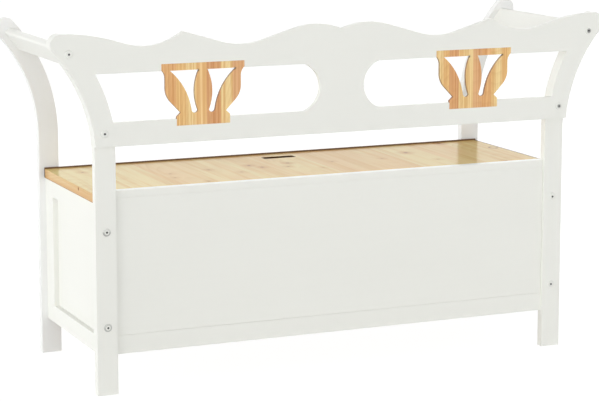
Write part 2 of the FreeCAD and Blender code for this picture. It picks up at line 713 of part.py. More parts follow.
def make_lid(tools):
    """Lid of equal boards that run from back to front, on two battens, with a lipping along the front edge."""
    width = "2 * lid_half / %d" % LID_BOARDS
    middle = LID_BOARDS // 2
    drillers = [tools["hinge_screws_lid"], tools["batten_screws"]]
    for number in range(LID_BOARDS):
        label = "lid_board_%02d" % (number + 1)
        if number == middle:
            half = "slot_length / 2 - slot_width / 2"
            body = new_body(label + "_blank", z="lid_bottom")
            sketch = new_sketch(body, "XY_Plane", label + "_outline")
            side = "lid_half / %d" % LID_BOARDS
            outline(sketch, [("-" + side, "lid_board_front"), (side, "lid_board_front"), (side, "lid_rear"),
                             ("-" + side, "lid_rear")])
            outline(sketch, [("-(%s)" % half, "slot_y - slot_width / 2"),
                             (half, "slot_y - slot_width / 2", "slot_width / 2", 1),
                             ("slot_length / 2", "slot_y", "slot_width / 2", 1),
                             (half, "slot_y + slot_width / 2"),
                             ("-(%s)" % half, "slot_y + slot_width / 2", "slot_width / 2", 1),
                             ("-slot_length / 2", "slot_y", "slot_width / 2", 1)])
            pad(body, sketch, "lid_thick")
            blank = body
        else:
            blank = box(label + "_blank", "%d * %s - lid_half" % (number, width) if number else "-lid_half",
                        "lid_board_front", "lid_bottom", width, "lid_rear - lid_board_front", "lid_thick")
        keep(label, cut(label, blank, drillers))
    keep("lid_lipping", box("lid_lipping", "-lid_half", "lid_front", "lid_bottom", "2 * lid_half", "lip_thick",
                            "lid_thick + lip_proud"))
    for edge, y in (("front", "lid_front + batten_front_setback"),
                    ("rear", "lid_rear - batten_rear_setback - batten_width")):
        label = "lid_batten_" + edge
        blank = box(label + "_blank", "-batten_half", y, "lid_bottom - batten_thick", "2 * batten_half",
                    "batten_width", "batten_thick")
        keep(label, cut(label, blank, [tools["batten_screws"]]))


def make_hinge(hand, side, tools):
    """Butt hinge: one leaf upright on the back rail, one flat on the lid, with knuckles that take turns."""
    start = signed(side, "hinge_place") + " - hinge_length / 2"
    pitch = "hinge_length / %d" % KNUCKLES
    knuckles = {"rail": [], "lid": []}
    notches = {"rail": [], "lid": []}
    for number in range(KNUCKLES):
        first = "knuckle_gap * %d" % (number > 0)
        last = "knuckle_gap * %d" % (number < KNUCKLES - 1)
        begin = "%s + %d * %s" % (start, number, pitch)
        name = "knuckle_%s_%d" % (hand, number)
        owner = "lid" if number % 2 else "rail"
        knuckles[owner].append(rod(name, "knuckle_radius", "%s - %s - %s" % (pitch, first, last),
                                   "%s + %s" % (begin, first), "axis_y", "axis_z", "+x"))
        notch = ("%s - %s" % (begin, first), "%s + %s + %s" % (pitch, first, last))
        if owner == "lid":
            notches["rail"].append(box(name + "_notch", notch[0], "back_wall_inner - leaf_thick",
                                       "axis_z - axis_offset", notch[1], "leaf_thick", "axis_offset"))
        else:
            notches["lid"].append(box(name + "_notch", notch[0], "axis_y - axis_offset", "lid_top",
                                      notch[1], "axis_offset", "leaf_thick"))
    plates = {
        "rail": box("rail_plate_" + hand, start, "back_wall_inner - leaf_thick", "axis_z - leaf_width",
                    "hinge_length", "leaf_thick", "leaf_width"),
        "lid": box("lid_plate_" + hand, start, "axis_y - leaf_width", "lid_top",
                   "hinge_length", "leaf_width", "leaf_thick"),
    }
    bores = {
        "rail": rod("rail_bore_" + hand, "hinge_pin_radius", "hinge_length", start, "axis_y", "axis_z", "+x"),
        "lid": rod("lid_bore_" + hand, "hinge_pin_radius + pin_clear", "hinge_length", start, "axis_y", "axis_z", "+x"),
    }
    for owner, plate in plates.items():
        label = "hinge_leaf_%s_%s" % (owner, hand)
        notched = cut(label + "_plate", plate, notches[owner])
        leaf = fuse(label + "_blank", [notched] + knuckles[owner])
        keep(label, cut(label, leaf, [bores[owner], tools["hinge_screws_" + owner]]))
    keep("hinge_pin_" + hand,
         rod("hinge_pin_" + hand, "hinge_pin_radius", "hinge_length", start, "axis_y", "axis_z", "+x"))


def write_parts():
    """Stop at anything that failed to build, then write one file for each sub-part."""
    doc.recompute()
    for made in doc.Objects:
        if "Invalid" in made.State or "Error" in made.State:
            raise RuntimeError("%s did not build: %s" % (made.Label, made.State))
    for label, made in parts.items():
        if made.Shape.isNull() or not made.Shape.isValid() or not made.Shape.Solids:
            raise RuntimeError("%s has no valid solid" % label)
    os.makedirs("parts", exist_ok=True)
    for label, made in parts.items():
        made.Shape.exportStep("parts/%s.step" % label)
        print(label, len(made.Shape.Solids), round(made.Shape.Volume))
    print(len(parts), "sub-parts")


fasteners = make_fasteners()
make_legs(fasteners)
make_backrest(fasteners)
make_splats(fasteners)
make_arms(fasteners)
make_side_frames(fasteners)
make_wall("back", "back_wall_outer", "back_wall_inner", "back_wall_outer - wall_panel_thick", "back_wall_top", fasteners)
make_wall("front", "front_wall_outer", "front_wall_inner", "front_wall_outer + wall_panel_thick", "seat_base", fasteners)
make_box_floor()
make_lid(fasteners)
for hinge_hand, hinge_side in SIDES.items():
    make_hinge(hinge_hand, hinge_side, fasteners)
write_parts()
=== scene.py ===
import json
import math

import bmesh
import bpy
import numpy as np
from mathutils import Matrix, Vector


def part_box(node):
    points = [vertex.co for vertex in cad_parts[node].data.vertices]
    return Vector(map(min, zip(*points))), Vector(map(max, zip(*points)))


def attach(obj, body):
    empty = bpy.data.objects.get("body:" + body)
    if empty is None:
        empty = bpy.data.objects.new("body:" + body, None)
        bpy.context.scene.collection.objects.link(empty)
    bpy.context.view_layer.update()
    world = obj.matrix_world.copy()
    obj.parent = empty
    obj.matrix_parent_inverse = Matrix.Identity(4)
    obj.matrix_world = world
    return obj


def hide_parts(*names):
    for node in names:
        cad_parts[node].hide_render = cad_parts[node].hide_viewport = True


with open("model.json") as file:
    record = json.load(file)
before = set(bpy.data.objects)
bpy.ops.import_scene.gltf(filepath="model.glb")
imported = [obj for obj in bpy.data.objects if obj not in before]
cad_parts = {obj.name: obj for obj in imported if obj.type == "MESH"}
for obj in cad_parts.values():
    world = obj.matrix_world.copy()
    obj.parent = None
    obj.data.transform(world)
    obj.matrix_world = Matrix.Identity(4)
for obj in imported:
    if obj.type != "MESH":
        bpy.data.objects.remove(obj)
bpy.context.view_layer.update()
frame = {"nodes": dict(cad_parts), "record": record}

# Metres, as in the frame: +X is the sitter's left hand, -Y the front, +Z up.
BODY_OF = {node: body for body, nodes in frame["record"]["behaviour"]["bodies"].items()
           for node in nodes}
SLOT_OF = {entry["node"]: entry["material_slot"] for entry in frame["record"]["subparts"]}
LID_LOW, LID_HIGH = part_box("lid_board_01")[0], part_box("lid_board_11")[1]
BOARDS = 11
BOARD = (LID_HIGH[0] - LID_LOW[0]) / BOARDS
# Finger slot: its middle from the boards' front edge, and its half length and half width
SLOT_SETBACK, SLOT_HALF = 0.0515, (0.0385, 0.011)
SLOT_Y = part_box("lid_board_06")[0][1] + SLOT_SETBACK


class Reading:
    """A number, colour or direction that changes over a surface. Operators on numbers add Math
    nodes."""

    def __init__(self, finish, socket):
        self.finish = finish
        self.socket = socket

    def __add__(self, other):
        return self.finish.maths("ADD", self, other)

    def __sub__(self, other):
        return self.finish.maths("SUBTRACT", self, other)

    def __rsub__(self, other):
        return self.finish.maths("SUBTRACT", other, self)

    def __mul__(self, other):
        return self.finish.maths("MULTIPLY", self, other)

    def __truediv__(self, other):
        return self.finish.maths("DIVIDE", self, other)

    def __pow__(self, other):
        return self.finish.maths("POWER", self, other)

    def __abs__(self):
        return self.finish.maths("ABSOLUTE", self)

    __radd__ = __add__
    __rmul__ = __mul__


class Finish:
    """The nodes of one material, or of the surround."""

    def __init__(self, owner):
        owner.use_nodes = True
        self.owner = owner
        self.tree = owner.node_tree
        self.tree.nodes.clear()

    def node(self, kind, settings=None, sockets=None, out=0):
        """Adds one node: its settings first, a ramp's stops among them, then its sockets' values
        or links."""
        made = self.tree.nodes.new("ShaderNode" + kind)
        for name, setting in (settings or {}).items():
            if name == "stops":
                self.set_stops(made.color_ramp, setting)
            else:
                setattr(made, name, setting)
        for name, given in (sockets or {}).items():
            if isinstance(given, Reading):
                self.tree.links.new(given.socket, made.inputs[name])
            elif isinstance(given, tuple) and made.inputs[name].type == "RGBA":
                made.inputs[name].default_value = (*given, 1)
            else:
                made.inputs[name].default_value = given
        return Reading(self, made.outputs[out]) if len(made.outputs) else None

    @staticmethod
    def set_stops(ramp, stops):
        """Stops are (position, colour) pairs, each held level up to the next."""
        ramp.interpolation = "CONSTANT"
        while len(ramp.elements) < len(stops):
            ramp.elements.new(1)
        for element, (position, colour) in zip(ramp.elements, stops):
            element.position = position
            element.color = (*colour, 1)

    def maths(self, operation, *terms):
        return self.node("Math", {"operation": operation}, dict(enumerate(terms)))

    def most(self, *readings):
        """The largest of several readings."""
        largest, *others = readings
        for other in others:
            largest = self.maths("MAXIMUM", largest, other)
        return largest

    def away(self, x, y, middle=(0, 0), squash=1.0):
        """Distance from a point in a plane: the root of x squared plus y squared, each counted
        from the point. The squash shortens the second."""
        return self.maths("SQRT", (x - middle[0]) ** 2.0 + (y - middle[1]) ** 2.0 * squash)

    def split(self, place):
        """The three parts of a place or a colour."""
        outputs = self.node("SeparateXYZ", None, {0: place}).socket.node.outputs
        return [Reading(self, socket) for socket in outputs]

    def join(self, x, y, z):
        """A place from its three parts."""
        return self.node("CombineXYZ", None, {0: x, 1: y, 2: z})

    def noise(self, place, factors, detail=2.0):
        """Smooth noise about 0.5, whose cells have a length of one over the factor along each
        axis."""
        stretched = self.node("VectorMath", {"operation": "MULTIPLY"}, {0: place, 1: factors})
        return self.node("TexNoise", {"noise_dimensions": "3D"},
                         {"Vector": stretched, "Scale": 1.0, "Detail": detail})

    def step(self, reading, low, high):
        """0 below the low value, 1 above the high one, with a smooth rise between."""
        return self.node("MapRange", {"interpolation_type": "SMOOTHSTEP"},
                         {"Value": reading, "From Min": low, "From Max": high})

    def blend(self, factor, first, second, way="MIX"):
        """Mix of two colours."""
        return self.node("Mix", {"data_type": "RGBA", "blend_type": way},
                         {0: factor, 6: first, 7: second}, 2)

    def tint(self, factor, colour, other):
        """A colour multiplied by another, as far as the factor says."""
        return self.blend(factor, colour, other, "MULTIPLY")

    def spot(self):
        """Place on the piece, in metres."""
        return self.node("TexCoord", out=3)

    def along(self, axis, shift=(0, 0, 0)):
        """Place on the piece, turned so that the grain runs along the second coordinate."""
        turn = {"x": (0, 0, math.pi / 2), "y": (0, 0, 0), "z": (math.pi / 2, 0, 0)}[axis]
        return self.node("Mapping", {"vector_type": "POINT"},
                         {"Vector": self.spot(), "Rotation": turn, "Location": shift})

    def facing(self, axis):
        """How squarely a face looks along an axis, numbered from 0: 1 where it looks straight
        along it, either way."""
        return abs(self.split(self.node("NewGeometry", out=1))[axis])

    def relief(self, height, depth, strength):
        """Normal of a surface that rises by the depth where the height is 1."""
        return self.node("Bump", None, {"Height": height, "Distance": depth, "Strength": strength})

    def surface(self, sockets):
        """Puts readings and constants on the surface shader, closes the material and returns
        it."""
        return self.close("OutputMaterial", self.node("BsdfPrincipled", None, sockets))

    def close(self, kind, shader):
        """Leads a shader to the output."""
        self.node(kind, None, {"Surface": shader})
        return self.owner


def new_finish(name):
    return Finish(bpy.data.materials.new(name))


# How far slow noise bends the growth rings
RING_BEND = 0.035


def growth(finish, place, pitch, pith, lean):
    """Growth rings cut by a face. A pith lies below the face and leans towards it along the
    board. The distance from it, bent by slow noise, is counted in rings: each darkens as the
    square of its part and then ends sharply. Slow noise makes some stretches fainter than
    others."""
    across, along, deep = finish.split(place)
    height = deep + pith + along * lean
    bend = finish.noise(place, (9, 1.3, 9), 1.0)
    part = finish.maths("FRACT", (finish.away(across, height) + bend * RING_BEND) / pitch)
    strength = finish.noise(place, (22, 2.5, 22), 1.0)
    late_wood = part * part * (1.0 - finish.step(part, 0.86, 1.0))
    return late_wood * finish.step(strength, 0.25, 0.75)


# The paint's two tones: on most pieces, and on the front legs a slightly brighter, less yellow
# copy, which is painted light: it cancels the warm light that the lid throws on them
WHITE = ((0.822, 0.827, 0.782), (0.792, 0.797, 0.752))
FRONT_LEG_PAINTED_LIGHT = ((0.831, 0.837, 0.826), (0.803, 0.808, 0.797))


def paint(axis, seed, tones=WHITE):
    """Brushed white paint on pine: the grain stands in fine relief under it, and the coat's tone
    wanders a little."""
    finish = new_finish("white_paint_%s_%d" % (axis, seed))
    place = finish.along(axis, (0.37 * seed, 0.91 * seed, 0.53 * seed))
    cloud = finish.noise(place, (6, 2, 6), 1.0)
    fibre = finish.noise(place, (190, 3, 190), 3.0)
    brush = finish.noise(place, (800, 10, 800), 1.0)
    return finish.surface({
        "Base Color": finish.blend(cloud * 0.7 + fibre * 0.3, *tones),
        "Roughness": 0.30 + 0.16 * brush, "IOR": 1.5,
        "Normal": finish.relief(fibre * 0.7 + brush * 0.3, 0.0003, 0.5)})


# Knots on the lid's upper face: place across and along the boards, reach, darkness
LID_KNOTS = (
    (0.106, -0.051, 0.010, 0.85), (0.088, -0.018, 0.010, 0.75), (0.014, -0.048, 0.010, 0.7),
    (0.031, -0.005, 0.009, 0.55), (-0.293, -0.075, 0.012, 0.8), (-0.087, -0.030, 0.008, 0.45),
    (-0.426, -0.168, 0.012, 0.75), (-0.318, 0.038, 0.009, 0.35), (-0.206, -0.020, 0.008, 0.4),
    (0.304, -0.016, 0.009, 0.35), (0.311, 0.034, 0.008, 0.4), (0.209, -0.032, 0.009, 0.5),
    (0.472, -0.110, 0.009, 0.5), (0.153, 0.023, 0.011, 0.35), (-0.034, 0.039, 0.008, 0.3),
    (0.262, 0.106, 0.007, 0.6), (-0.448, 0.120, 0.009, 0.6),
)
# A knot that is a thin ring: its middle and its radius across the boards
RING_KNOT, RING_RADIUS = (-0.514, -0.062), 0.00875
# A small knot in the lid's left edge: its place along the boards and up
EDGE_KNOT = (0.055, LID_LOW[2] + 0.0145)


def lid_knots(finish, x, y, z):
    """Darkness of the knots: 1 in the middle of a dark one, 0 outside. One is a thin ring, one is
    cut by the edge. The second reading is the brown wood round them."""
    cores, halos = [], []
    for knot_x, knot_y, reach, dark in LID_KNOTS:
        away = finish.away(x, y, (knot_x, knot_y), 0.7)
        cores.append(dark - finish.step(away, reach * 0.15, reach * 0.6) * dark)
        halos.append(dark - finish.step(away, reach * 0.2, reach * 2.4) * dark)
    ring = finish.away(x, y, RING_KNOT, 0.5)
    rim = 1.0 - finish.step(abs(ring - RING_RADIUS), 0.0008, 0.0035)
    edge = finish.away(y, z, EDGE_KNOT)
    at_end = finish.step(x, LID_HIGH[0] - 0.006, LID_HIGH[0] - 0.003)
    spot = (1.0 - finish.step(edge, 0.0022, 0.0052)) * at_end
    return finish.most(*cores, rim * 0.6, spot * 0.9), finish.most(*halos)


# Colours of the varnished lid, and what multiplies them: painted shade on its end faces, painted
# light towards its left end and painted shade beside the lipping
PALE_BOARD, WARM_BOARD, TAN = (0.82, 0.66, 0.30), (0.80, 0.555, 0.245), (0.72, 0.44, 0.155)
GRAIN_BROWN, KNOT_BROWN, KNOT_DARK = (0.55, 0.27, 0.07), (0.56, 0.26, 0.07), (0.30, 0.11, 0.025)
# Painted shade: a dark brown for the edges at the right end and under the ends, and near black for
# the finger slot's walls
EDGE_SHADE, SLOT_SHADE = (0.26, 0.17, 0.11), (0.09, 0.04, 0.014)
END_SHADE, LEFT_LIGHT, LIPPING_SHADE = (0.81, 0.73, 0.87), (1.06, 1.08, 1.10), (0.84, 0.74, 0.62)
UNTINTED = (1.0, 1.0, 1.0)


def lid_varnish():
    """Glossy varnished pine: eleven boards that differ in tone and rings, with small knots. Painted
    shade makes the walls of the finger slot near black and darkens the end faces, the edges at the
    right end and under the ends, and the boards beside the lipping; painted light brightens the
    left end."""
    finish = new_finish("lid_pine")
    place = finish.spot()
    x, y, z = finish.split(place)
    # A little is added before rounding down, so that a board's own edge still counts to it.
    board = finish.maths("MINIMUM",
                         finish.maths("FLOOR", (x - LID_LOW[0]) / BOARD + 0.0001), BOARDS - 1)
    chance = finish.node("TexWhiteNoise", {"noise_dimensions": "1D"}, {"W": board * 3.7 + 1.3}, 1)
    first, second, third = finish.split(chance)
    middle = (board + 0.5) * BOARD + LID_LOW[0]
    across = x - middle + (first - 0.5) * 0.07
    own = finish.join(across, y + second * 4.0, z - LID_LOW[2] + third * 0.4)
    flat = finish.join(across, y, z - LID_LOW[2])
    rings = growth(finish, flat, 0.0062, second * 0.06 + 0.03, third * 0.30 - 0.15)
    fibre = finish.noise(own, (420, 9, 420), 3.0)
    streak = finish.noise(own, (62, 1.8, 62), 3.0)
    cloud = finish.noise(own, (13, 4.0, 13), 2.0)

    warmth = finish.step(cloud * 0.62 + first * 0.38, 0.34, 0.66)
    colour = finish.blend(warmth, PALE_BOARD, WARM_BOARD)
    colour = finish.blend(finish.step(streak, 0.42, 0.68) * 0.60, colour, TAN)
    colour = finish.blend(rings * 0.34 + (fibre - 0.5) * 0.36, colour, GRAIN_BROWN)
    knots, halo = lid_knots(finish, x, y, z)
    colour = finish.blend(halo * 0.75, colour, KNOT_BROWN)
    colour = finish.blend(knots, colour, KNOT_DARK)

    # Painted shade darkens the faces at the lid's ends.
    at_end = finish.step(finish.facing(0), 0.4, 0.8)
    colour = finish.tint(at_end, colour, END_SHADE)
    # Painted shade: a dark band along the lid's right end, and a dark line along the lower edge of
    # the end faces.
    right_arris = 1.0 - finish.step(x - LID_LOW[0], 0.004, 0.009)
    lower_arris = at_end * (1.0 - finish.step(z - LID_LOW[2], 0.0010, 0.0028))
    colour = finish.blend(finish.most(right_arris * 0.75, lower_arris * 0.65), colour, EDGE_SHADE)
    # Painted light: the lid grows a little brighter towards its left end.
    colour = finish.tint(1.0, colour, finish.blend(finish.step(x, -0.3, 0.4), UNTINTED, LEFT_LIGHT))
    # Painted shade darkens the boards in a strip beside the lipping.
    beside_lipping = 1.0 - finish.step(y - LID_LOW[1], 0.004, 0.045)
    colour = finish.tint(beside_lipping, colour, LIPPING_SHADE)

    # Painted shade: the walls of the finger slot are near black.
    past_slot = finish.most(abs(x) - SLOT_HALF[0], abs(y - SLOT_Y) - SLOT_HALF[1])
    within = 1.0 - finish.step(past_slot, 0.0001, 0.0007)
    return finish.surface({
        "Base Color": finish.blend(within, colour, SLOT_SHADE),
        "Roughness": 0.42 + 0.12 * fibre, "Specular IOR Level": 0.0,
        "Normal": finish.relief(rings * 0.2 + fibre * 0.2 + streak * 0.6, 0.0004, 0.4),
        "Coat Weight": 0.24, "Coat IOR": 1.5, "Coat Roughness": 0.2})


YELLOW, LIGHT, HONEY = (0.84, 0.61, 0.285), (0.85, 0.58, 0.27), (0.81, 0.52, 0.215)
ORANGE, BROWN, PINKISH = (0.77, 0.435, 0.18), (0.68, 0.345, 0.145), (0.72, 0.395, 0.185)
# Staves of each splat from its low X side: where each starts, as a part of the width, and its tone
SPLAT_STAVES = {
    "left": ((0.0, PINKISH), (0.143, YELLOW), (0.287, BROWN), (0.385, PINKISH), (0.46, LIGHT),
             (0.586, YELLOW), (0.706, HONEY), (0.823, ORANGE)),
    "right": ((0.0, HONEY), (0.12, YELLOW), (0.264, ORANGE), (0.385, PINKISH), (0.505, YELLOW),
              (0.698, BROWN), (0.827, HONEY), (0.90, YELLOW)),
}
# What multiplies a stave's tone in its dark and pale streaks, and the painted shade on its cut
# edges
DARK_STREAK, PALE_STREAK, CUT_EDGE_SHADE = (0.86, 0.71, 0.55), (1.03, 1.09, 1.12), (0.42, 0.34, 0.28)
# Colours of the warm patches, of the grain, and of the nearly black painted shade in the cut-outs'
# corners
WARM_PATCH, SPLAT_GRAIN, CORNER_SHADE = (0.78, 0.43, 0.17), (0.52, 0.24, 0.07), (0.10, 0.06, 0.03)
# Upper corners of the cut-outs on the low X side, which get nearly black painted shade: how far
# from the splat's middle each lies, and how far below its top
SHADED_CORNERS, SHADED_CORNER_DROP = (0.011, -0.070), 0.0155


def splat_varnish(hand):
    """Honey-varnished pine glued from upright staves, each with its own tone, streaks and rings.
    Painted shade makes the cut edges darker than the face, and nearly black in two upper corners
    of the cut-outs."""
    low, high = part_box("splat_" + hand)
    finish = new_finish("splat_pine_" + hand)
    place = finish.spot()
    x, y, z = finish.split(place)
    across = (x - low[0]) / (high[0] - low[0])
    tone = finish.node("ValToRGB", {"stops": SPLAT_STAVES[hand]}, {"Fac": across})
    green, blue = finish.split(tone)[1:]
    # The tone itself shifts the grain, so that each stave has its own.
    own = finish.join(x + green * 0.9, z + green * 3.1, y + blue * 0.2)
    rings = growth(finish, own, 0.0056, 0.04, 0.25)
    fibre = finish.noise(own, (560, 9, 560), 3.0)
    streak = finish.noise(own, (300, 3.5, 300), 2.0)
    broad = finish.noise(own, (60, 6, 60), 1.0)

    pale, dark = finish.tint(1.0, tone, PALE_STREAK), finish.tint(1.0, tone, DARK_STREAK)
    colour = finish.blend(finish.step(streak, 0.36, 0.66), pale, dark)
    colour = finish.blend(finish.step(broad, 0.45, 0.75) * 0.35, colour, WARM_PATCH)
    colour = finish.blend(rings * 0.36 + (fibre - 0.5) * 0.26, colour, SPLAT_GRAIN)
    # Painted shade on the cut edges, the faces that do not look along Y.
    shaded_edges = 1.0 - finish.step(finish.facing(1), 0.75, 0.98)
    colour = finish.tint(shaded_edges, colour, CUT_EDGE_SHADE)

    # Nearly black painted shade in two upper corners of the cut-outs, stronger on the cut edges.
    middle, level = (low[0] + high[0]) / 2, high[2] - SHADED_CORNER_DROP
    corner_shades = [1.0 - finish.step(finish.away(x, z, (middle + corner, level)), 0.0015, 0.0045)
             for corner in SHADED_CORNERS]
    return finish.surface({
        "Base Color": finish.blend(finish.most(*corner_shades) * (shaded_edges * 0.55 + 0.4), colour, CORNER_SHADE),
        "Roughness": 0.36 + 0.12 * fibre, "IOR": 1.45,
        "Normal": finish.relief(rings * 0.5 + fibre * 0.5, 0.0002, 0.3),
        "Coat Weight": 0.25, "Coat Roughness": 0.1})


STAIN, DARK_STAIN = (0.20, 0.105, 0.042), (0.10, 0.05, 0.02)


def lipping_stain():
    """Dark walnut stain under varnish, with streaks along the strip."""
    finish = new_finish("lipping_stain")
    streak = finish.noise(finish.along("x"), (160, 2.5, 160), 3.0)
    return finish.surface({
        "Base Color": finish.blend(streak, STAIN, DARK_STAIN),
        "Roughness": 0.40 + 0.1 * streak, "Specular IOR Level": 0.25,
        "Normal": finish.relief(streak, 0.0003, 0.4),
        "Coat Weight": 0.12, "Coat Roughness": 0.12})


RAW_PINE, RAW_SHADE, RAW_GRAIN = (0.76, 0.60, 0.40), (0.67, 0.49, 0.30), (0.50, 0.31, 0.15)


def bare_pine(axis):
    """Planed pine with no finish, as on the hidden pieces."""
    finish = new_finish("raw_pine_%s_1" % axis)
    place = finish.along(axis, (0.11, 0.7, 0.03))
    rings = growth(finish, place, 0.006, 0.05, 0.1)
    fibre = finish.noise(place, (380, 6, 380), 3.0)
    colour = finish.blend(finish.noise(place, (9, 1, 9)), RAW_PINE, RAW_SHADE)
    colour = finish.blend(rings * 0.4 + (fibre - 0.5) * 0.3, colour, RAW_GRAIN)
    return finish.surface({
        "Base Color": colour, "Roughness": 0.62 + 0.12 * fibre,
        "Normal": finish.relief(rings * 0.4 + fibre * 0.6, 0.0003, 0.6)})


def plated_steel(name, colour, other):
    """Plated steel: a mottled, slightly rough metal."""
    finish = new_finish(name)
    mottle = finish.noise(finish.spot(), (350, 350, 350), 3.0)
    return finish.surface({
        "Base Color": finish.blend(mottle, colour, other), "Metallic": 1.0,
        "Roughness": 0.26 + 0.22 * mottle, "Normal": finish.relief(mottle, 0.0001, 0.3)})


# Painted shade on four bolt heads at the back: dark crescents round two rims, darker below the
# middle, and dark discs wider than the sockets on two. Place across and up, inner and outer
# radius, and darkness above and below
BOLT_SHADES = (
    ((0.521, 0.341), 0.0054, 0.0090, 0.15, 0.60),
    ((0.521, 0.142), 0.0054, 0.0090, 0.35, 0.50),
    ((-0.5989, 0.7096), 0.0, 0.0054, 0.62, 0.62),
    ((-0.5264, 0.5455), 0.0, 0.0050, 0.48, 0.48),
)
# Width over which the edge of a painted shade mark fades
BOLT_SHADE_FADE = 0.0006
ENAMEL, DULL_ENAMEL, BOLT_SHADE_COLOUR = (0.80, 0.805, 0.765), (0.74, 0.745, 0.70), (0.17, 0.17, 0.165)
STEEL, DARK_STEEL = (0.13, 0.13, 0.125), (0.07, 0.07, 0.07)


def bolt_enamel():
    """White enamel on the bolt heads, with painted shade on four of them. Where the attribute says
    bare, in the socket and on the shank, dark steel."""
    finish = new_finish("bolt_white")
    place = finish.spot()
    x, y, z = finish.split(place)
    mottle = finish.noise(place, (300, 300, 300), 2.0)
    bare = finish.node("Attribute", {"attribute_name": "bare"}, None, 2)
    # Painted shade on four heads: rings and discs, with the rims darker below the middle.
    bolt_shades = []
    for middle, inner, outer, above, below in BOLT_SHADES:
        away = finish.away(x, z, middle)
        past_inner = finish.step(away, inner - BOLT_SHADE_FADE, inner)
        ring = past_inner * (1.0 - finish.step(away, outer - BOLT_SHADE_FADE, outer))
        upper = finish.step(z, middle[1] - 0.001, middle[1] + 0.003)
        bolt_shades.append(ring * (upper * (above - below) + below))
    at_back = finish.step(y, 0.0, 0.05)
    enamel = finish.blend(mottle, ENAMEL, DULL_ENAMEL)
    enamel = finish.blend(finish.most(*bolt_shades) * at_back, enamel, BOLT_SHADE_COLOUR)
    steel = finish.blend(mottle, STEEL, DARK_STEEL)
    return finish.surface({
        "Base Color": finish.blend(bare, enamel, steel), "Roughness": 0.26 + 0.2 * mottle,
        "Metallic": bare * 0.8, "Normal": finish.relief(mottle, 0.0001, 0.3)})


# Turn between two faces past which their edge counts as sharp, and turn up to which the copy's
# shading runs on smoothly
SHARP_TURN, SMOOTH_TURN = math.radians(30), math.radians(40)
# Turn up to which loose triangles are joined to one flat face
FLAT_TURN = math.radians(0.2)
# Rounding of the edges: on the legs, backrest and arms, on thinner boards, on the splats, and
# on the bolt heads
BOARD_EDGE, THIN_EDGE, SPLAT_EDGE, BOLT_EDGE = 0.0022, 0.0012, 0.0010, 0.0005


def eased(node, width, chosen=None):
    """Copy of a CAD node with its sharp edges rounded, where the test on an edge's middle point
    allows it."""
    source = frame["nodes"][node]
    work = bmesh.new()
    work.from_mesh(source.data)
    work.transform(source.matrix_world)
    bmesh.ops.remove_doubles(work, verts=work.verts, dist=1e-6)
    bmesh.ops.dissolve_limit(work, angle_limit=FLAT_TURN, verts=work.verts, edges=work.edges)
    edges = [edge for edge in work.edges
             if len(edge.link_faces) == 2 and edge.calc_face_angle(0) > SHARP_TURN
             and (chosen is None or chosen((edge.verts[0].co + edge.verts[1].co) / 2))]
    bmesh.ops.bevel(work, geom=edges, offset=width, offset_type="OFFSET", segments=3,
                    profile=0.5, affect="EDGES", clamp_overlap=True)
    mesh = bpy.data.meshes.new("eased_" + node)
    work.to_mesh(mesh)
    work.free()
    mesh.polygons.foreach_set("use_smooth", [True] * len(mesh.polygons))
    mesh.set_sharp_from_angle(angle=SMOOTH_TURN)
    piece = bpy.data.objects.new("eased_" + node, mesh)
    bpy.context.scene.collection.objects.link(piece)
    shading = piece.modifiers.new("flat_faces", "WEIGHTED_NORMAL")
    shading.keep_sharp = True
    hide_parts(node)
    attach(piece, BODY_OF[node])
    return piece


def cover(piece, material):
    """Gives every face of a piece one material."""
    piece.data.materials.clear()
    piece.data.materials.append(material)


# Axis along which the grain of each kind of painted piece runs
GRAIN = {
    "leg": "z", "backrest": "x", "armrest": "y", "side_stile": "z", "side_rail": "y",
    "side_panel": "z", "back_rail": "x", "back_panel": "x", "front_rail": "x", "front_panel": "x",
}


def dress_white_pieces():
    """Every painted piece gets soft edges, and paint whose grain follows the piece. Where the
    rear wall's upper rail meets the panel the paint fills the seam, so those edges stay sharp."""
    coats = {(axis, seed): paint(axis, seed) for axis in "xyz" for seed in range(3)}
    front_leg_light_coat = paint("z", 3, FRONT_LEG_PAINTED_LIGHT)
    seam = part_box("back_rail_top")[0][2]

    def off_seam(point):
        return abs(point.z - seam) > 0.001

    for number, (node, slot) in enumerate(SLOT_OF.items()):
        if slot != "white_paint":
            continue
        axis = next(way for start, way in GRAIN.items() if node.startswith(start))
        width = BOARD_EDGE if node.startswith(("leg", "backrest", "armrest")) else THIN_EDGE
        chosen = off_seam if node in ("back_rail_top", "back_panel") else None
        # The front legs' coat is painted light: a brighter, less yellow copy of the paint.
        coat = front_leg_light_coat if node.startswith("leg_front") else coats[axis, number % 3]
        cover(eased(node, width, chosen), coat)


def dress_lid():
    """The lid's boards stay flush with each other; its outer edges and the rim of the finger slot
    are rounded."""
    varnish = lid_varnish()

    def at_rim(point):
        ends = min(abs(point.x - LID_LOW[0]), abs(point.x - LID_HIGH[0])) < 1e-4
        slot = (abs(point.x) < SLOT_HALF[0] + 0.0015
                and abs(point.y - SLOT_Y) < SLOT_HALF[1] + 0.001)
        return ends or slot

    for node in SLOT_OF:
        if node in ("lid_board_01", "lid_board_06", "lid_board_11"):
            cover(eased(node, THIN_EDGE, at_rim), varnish)
        elif node.startswith("lid_board"):
            cover(frame["nodes"][node], varnish)
    cover(eased("lid_lipping", THIN_EDGE), lipping_stain())


# Bolts of one row stand further apart than this.
BOLT_GAP = 0.02


def middles(values):
    """Middle of each group of values, where groups lie further apart than the bolts' gap."""
    values = np.sort(values)
    cuts = np.flatnonzero(np.diff(values) > BOLT_GAP)
    return (values[np.r_[0, cuts + 1]] + values[np.r_[cuts, len(values) - 1]]) / 2


# Distance from a bolt's axis: up to where its shank reaches, and between which the rim lies
SHANK_REACH, HEAD_RIM = 0.0032, (0.0068, 0.0075)


